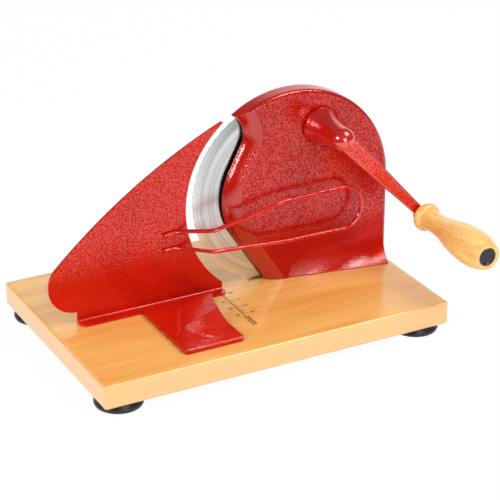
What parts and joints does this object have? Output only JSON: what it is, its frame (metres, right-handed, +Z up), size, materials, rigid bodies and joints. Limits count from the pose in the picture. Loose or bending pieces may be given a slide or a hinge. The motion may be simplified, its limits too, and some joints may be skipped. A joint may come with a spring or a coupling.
{
  "type": "bread slicer",
  "caption": "Hand-cranked slicer: a round knife in a cast housing on a footed wooden board, with a sliding stop plate that sets the slice thickness and a wire guard.",
  "frame": {"origin": "centre of the bounding box at the level that the feet stand on", "axes": "+X to the crank's side along the board, +Y away from the user to the loaf's side, +Z up"},
  "size_m": [0.3906, 0.281, 0.227],
  "materials": {
    "board_wood": "satin lacquer",
    "foot_rubber": "matt",
    "red_enamel": "glossy wrinkle enamel",
    "red_enamel_sheet": "glossy wrinkle enamel",
    "red_enamel_cover": "glossy wrinkle enamel",
    "screws": "zinc plated",
    "bright_screw": "bright",
    "steel": "ground",
    "bronze": "plain",
    "blade_steel": "ground, brushed in circles",
    "gear_plastic": "moulded",
    "grip_wood": "clear lacquer",
    "dark_plastic": "gloss",
    "red_enamel_wire": "glossy enamel"
  },
  "bodies": {
    "base": {"base_board": "board_wood", "rubber_foot_front_left": "foot_rubber", "rubber_foot_front_right": "foot_rubber", "rubber_foot_back_left": "foot_rubber", "rubber_foot_back_right": "foot_rubber", "foot_screws": "screws", "gear_housing": "red_enamel", "housing_screws": "screws", "shaft_bushes": "bronze", "blade_axle": "steel", "blade_screw": "bright_screw"},
    "knife": {"blade": "blade_steel", "blade_gear": "gear_plastic", "gear_rivets": "steel"},
    "crank": {"crank_arm": "red_enamel", "crank_shaft": "steel", "pinion": "steel", "pinion_screw": "screws", "grip_spindle": "steel", "grip_washer": "screws"},
    "grip": {"wooden_grip": "grip_wood", "grip_cap": "dark_plastic"},
    "stop": {"stop_plate": "red_enamel_sheet", "slide_cover": "red_enamel_cover", "slide_screws": "screws", "wire_guard": "red_enamel_wire", "guide_bolts": "screws", "guide_sleeves": "gear_plastic", "guide_washers": "screws", "guide_springs": "screws", "guide_nuts": "screws"}
  },
  "joints": [
    {"name": "crank_turn", "type": "hinge", "parent": "base", "child": "crank", "pos_m": [0.08769, -0.00255, 0.18735], "axis": [0, 1, 0], "continuous": true},
    {"name": "knife_turn", "type": "hinge", "parent": "base", "child": "knife", "pos_m": [0.05217, 0.03195, 0.123], "axis": [0, 1, 0], "continuous": true},
    {"name": "grip_turn", "type": "hinge", "parent": "crank", "child": "grip", "pos_m": [0.17733, -0.08185, 0.09388], "axis": [0, 1, 0], "continuous": true},
    {"name": "stop_slide", "type": "slide", "parent": "base", "child": "stop", "axis": [0, 1, 0], "range_m": [-0.0095, 0.0055]}
  ],
  "couplings": [
    {"joint": "knife_turn", "follows": "crank_turn", "ratio": -0.32432}
  ]
}
